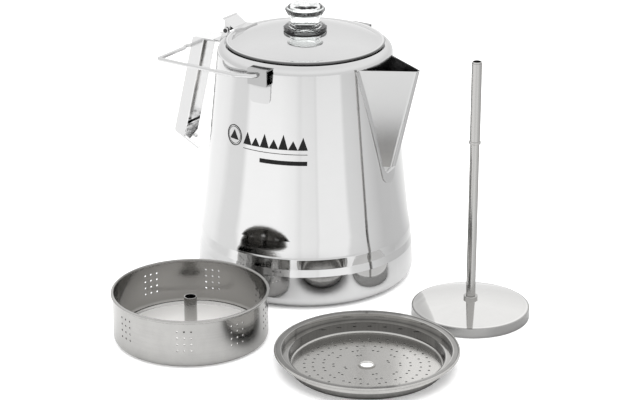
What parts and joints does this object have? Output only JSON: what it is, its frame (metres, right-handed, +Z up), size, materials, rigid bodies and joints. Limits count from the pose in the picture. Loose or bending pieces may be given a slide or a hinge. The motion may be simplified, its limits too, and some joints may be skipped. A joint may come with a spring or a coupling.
{
  "type": "camping coffee percolator",
  "caption": "Tapered steel coffee percolator with hinged lid, glass knob, V spout, wire bail and side handle, with its basket, spreader plate and pump stem set out beside it.",
  "frame": {"origin": "centre of the pot's flat base, on the floor all pieces stand on", "axes": "+Z up, +X towards the spout, -X towards the handle, -Y towards the basket"},
  "size_m": [0.3834, 0.3521, 0.2585],
  "materials": {
    "mirror_steel": "mirror polished stainless steel sheet",
    "handle_steel": "polished folded stainless strip",
    "pin_steel": "plain steel pin",
    "wire_steel": "polished stainless wire",
    "gasket_rubber": "dark silicone ring",
    "knob_glass": "clear hollow pressed glass",
    "brushed_steel": "satin brushed stainless sheet",
    "spun_steel": "satin spun stainless sheet with concentric grain",
    "stem_steel": "satin polished stainless"
  },
  "bodies": {
    "pot": {"pot_wall": "mirror_steel", "pot_base": "mirror_steel", "spout": "mirror_steel", "handle": "handle_steel", "handle_arm": "handle_steel", "handle_rivets": "handle_steel", "hinge_bracket": "handle_steel", "hinge_pin": "pin_steel", "ear_right": "handle_steel", "ear_left": "handle_steel"},
    "lid": {"lid_dome": "mirror_steel", "lid_collar": "mirror_steel", "hinge_leaf": "handle_steel", "knob_gasket": "gasket_rubber"},
    "knob": {"knob_glass": "knob_glass"},
    "bail": {"bail": "wire_steel"},
    "basket": {"basket_cup": "brushed_steel", "basket_tube": "brushed_steel"},
    "spreader": {"spreader_plate": "spun_steel"},
    "stem": {"stem_foot": "stem_steel", "stem_tube": "stem_steel", "stem_collar": "stem_steel", "stem_stop": "stem_steel", "stem_sleeve": "stem_steel"}
  },
  "joints": [
    {"name": "lid_hinge", "type": "hinge", "parent": "pot", "child": "lid", "pos_m": [-0.0802, 0, 0.2212], "axis": [0, -1, 0], "range_deg": [0, 105]},
    {"name": "knob_turn", "type": "hinge", "parent": "lid", "child": "knob", "pos_m": [0, 0, 0.24], "axis": [0, 0, 1], "range_deg": [0, 90]},
    {"name": "bail_swing", "type": "hinge", "parent": "pot", "child": "bail", "pos_m": [0.0068, 0, 0.2137], "axis": [0, 1, 0], "range_deg": [0, 178]},
    {"name": "basket_lift", "type": "slide", "parent": "pot", "child": "basket", "axis": [0, 0, 1], "range_m": [0, 0.3]},
    {"name": "spreader_lift", "type": "slide", "parent": "pot", "child": "spreader", "axis": [0, 0, 1], "range_m": [0, 0.3]},
    {"name": "stem_lift", "type": "slide", "parent": "pot", "child": "stem", "axis": [0, 0, 1], "range_m": [0, 0.3]}
  ]
}
